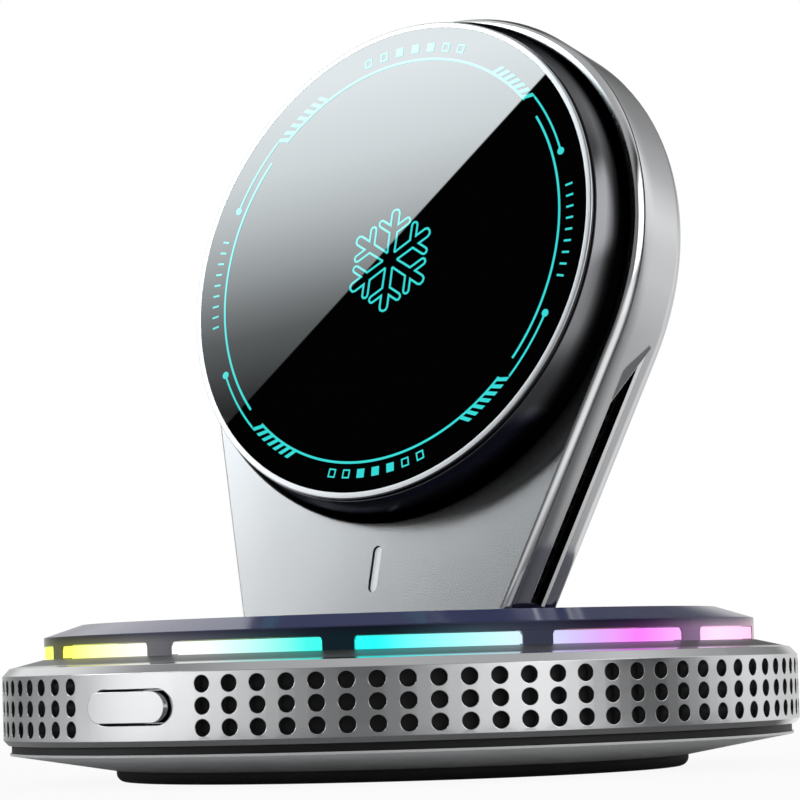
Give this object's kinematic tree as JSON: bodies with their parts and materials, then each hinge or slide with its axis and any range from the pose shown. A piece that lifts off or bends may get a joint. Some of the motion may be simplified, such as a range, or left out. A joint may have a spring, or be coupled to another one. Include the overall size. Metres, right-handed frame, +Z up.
{
  "type": "phone cooling fan",
  "caption": "Magnetic phone cooler: round glass-faced cooling head with an inner fan on a tapered tilting arm, standing on a round perforated base with a light ring and a power button.",
  "frame": {"origin": "centre of the round foot pad, on the table", "axes": "+Z up, -Y to the front where the power button is, +X to the right seen from the front, so the glass face looks to -Y and a little up"},
  "size_m": [0.1, 0.101, 0.0976],
  "materials": {
    "foot_rubber": "matte",
    "grey_shell": "satin",
    "steel": "satin",
    "satin_silver": "satin",
    "polished_silver": "polished",
    "black_plastic": "matte",
    "black_gloss": "gloss",
    "circuit_board": "satin",
    "led_lens": "gloss",
    "brass": "satin",
    "lens": "gloss",
    "bright_rim": "polished",
    "black_glass": "gloss",
    "magnet": "satin",
    "copper": "satin",
    "ferrite": "matte",
    "bare_aluminium": "satin",
    "white_ceramic": "matte",
    "light_guide": "satin"
  },
  "bodies": {
    "base": {"foot_pad": "foot_rubber", "bottom_shell": "grey_shell", "weight_plate": "steel", "grille_band": "satin_silver", "band_liner": "black_plastic", "light_frame": "black_plastic", "light_guide": "light_guide", "led_board": "circuit_board", "leds": "led_lens", "top_cover": "black_gloss", "button_guide": "black_plastic", "switch_board": "circuit_board", "tact_switch": "black_plastic", "main_board": "circuit_board", "usb_socket": "steel", "hinge_bracket": "steel", "hinge_pin": "steel", "friction_washers": "brass", "bracket_screws": "steel", "base_screws": "steel"},
    "button": {"power_button": "satin_silver"},
    "arm": {"hinge_barrel": "steel", "arm_front_plate": "satin_silver", "arm_rear_shell": "polished_silver", "side_vent_right": "black_plastic", "side_vent_left": "black_plastic", "indicator_lens": "lens", "rear_grille": "black_plastic", "arm_screws": "steel", "puck_housing": "black_gloss", "bezel_ring": "bright_rim", "front_glass": "black_glass", "light_board": "circuit_board", "magnet_ring": "magnet", "charging_coil": "copper", "ferrite_sheet": "ferrite", "cold_plate": "bare_aluminium", "peltier_module": "white_ceramic", "heat_sink": "bare_aluminium", "puck_screws": "steel", "fan_board": "circuit_board", "fan_stator": "copper", "fan_bearing": "brass"},
    "rotor": {"fan_impeller": "black_plastic", "rotor_magnet": "ferrite", "fan_shaft": "steel"}
  },
  "joints": [
    {"name": "button_press", "type": "slide", "parent": "base", "child": "button", "axis": [0, 1, 0], "range_m": [0, 0.0006], "stiffness_N_per_m": 2500, "springref_m": -0.0004},
    {"name": "arm_tilt", "type": "hinge", "parent": "base", "child": "arm", "pos_m": [0, -0.0014, 0.0155], "axis": [-1, 0, 0], "range_deg": [-8, 12]},
    {"name": "fan_spin", "type": "hinge", "parent": "arm", "child": "rotor", "pos_m": [0, -0.00047, 0.06548], "axis": [0, -0.9677, 0.2521], "continuous": true}
  ]
}
